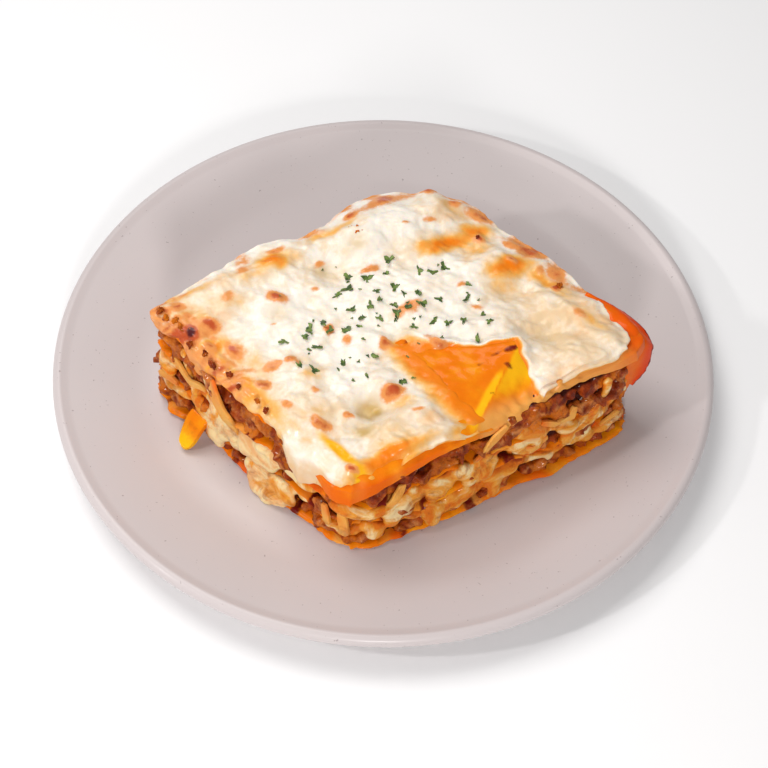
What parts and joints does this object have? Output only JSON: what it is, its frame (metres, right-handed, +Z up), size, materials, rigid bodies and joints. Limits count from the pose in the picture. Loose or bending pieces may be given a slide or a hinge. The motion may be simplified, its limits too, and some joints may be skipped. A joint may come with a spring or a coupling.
{
  "type": "lasagne slice on a plate",
  "caption": "Baked lasagne slice in layers of pasta, minced-meat sauce and cheese, topped with browned cheese and parsley, on a round wide-rimmed plate.",
  "frame": {"origin": "middle of the plate's foot ring, on the surface it stands on", "axes": "+Z up; -Y towards the slice's front corner, +X to the right of it"},
  "size_m": [0.23, 0.23, 0.0566],
  "materials": {
    "plate_glaze": "pale mauve-grey gloss glaze",
    "pasta": "cooked pasta, orange with oil",
    "meat_sauce": "glossy red-brown minced meat in sauce",
    "cheese_sauce": "melted cheese sauce, creamy yellow",
    "browned_cheese": "melted white cheese with browned spots and green flakes"
  },
  "bodies": {
    "root": {"plate": "plate_glaze", "pasta_sheet_1": "pasta", "ragu_1": "meat_sauce", "cheese_1": "cheese_sauce", "pasta_sheet_2": "pasta", "ragu_2": "meat_sauce", "cheese_2": "cheese_sauce", "pasta_sheet_3": "pasta", "ragu_3": "meat_sauce", "pasta_sheet_4": "pasta", "cheese_top": "browned_cheese"}
  },
  "joints": []
}
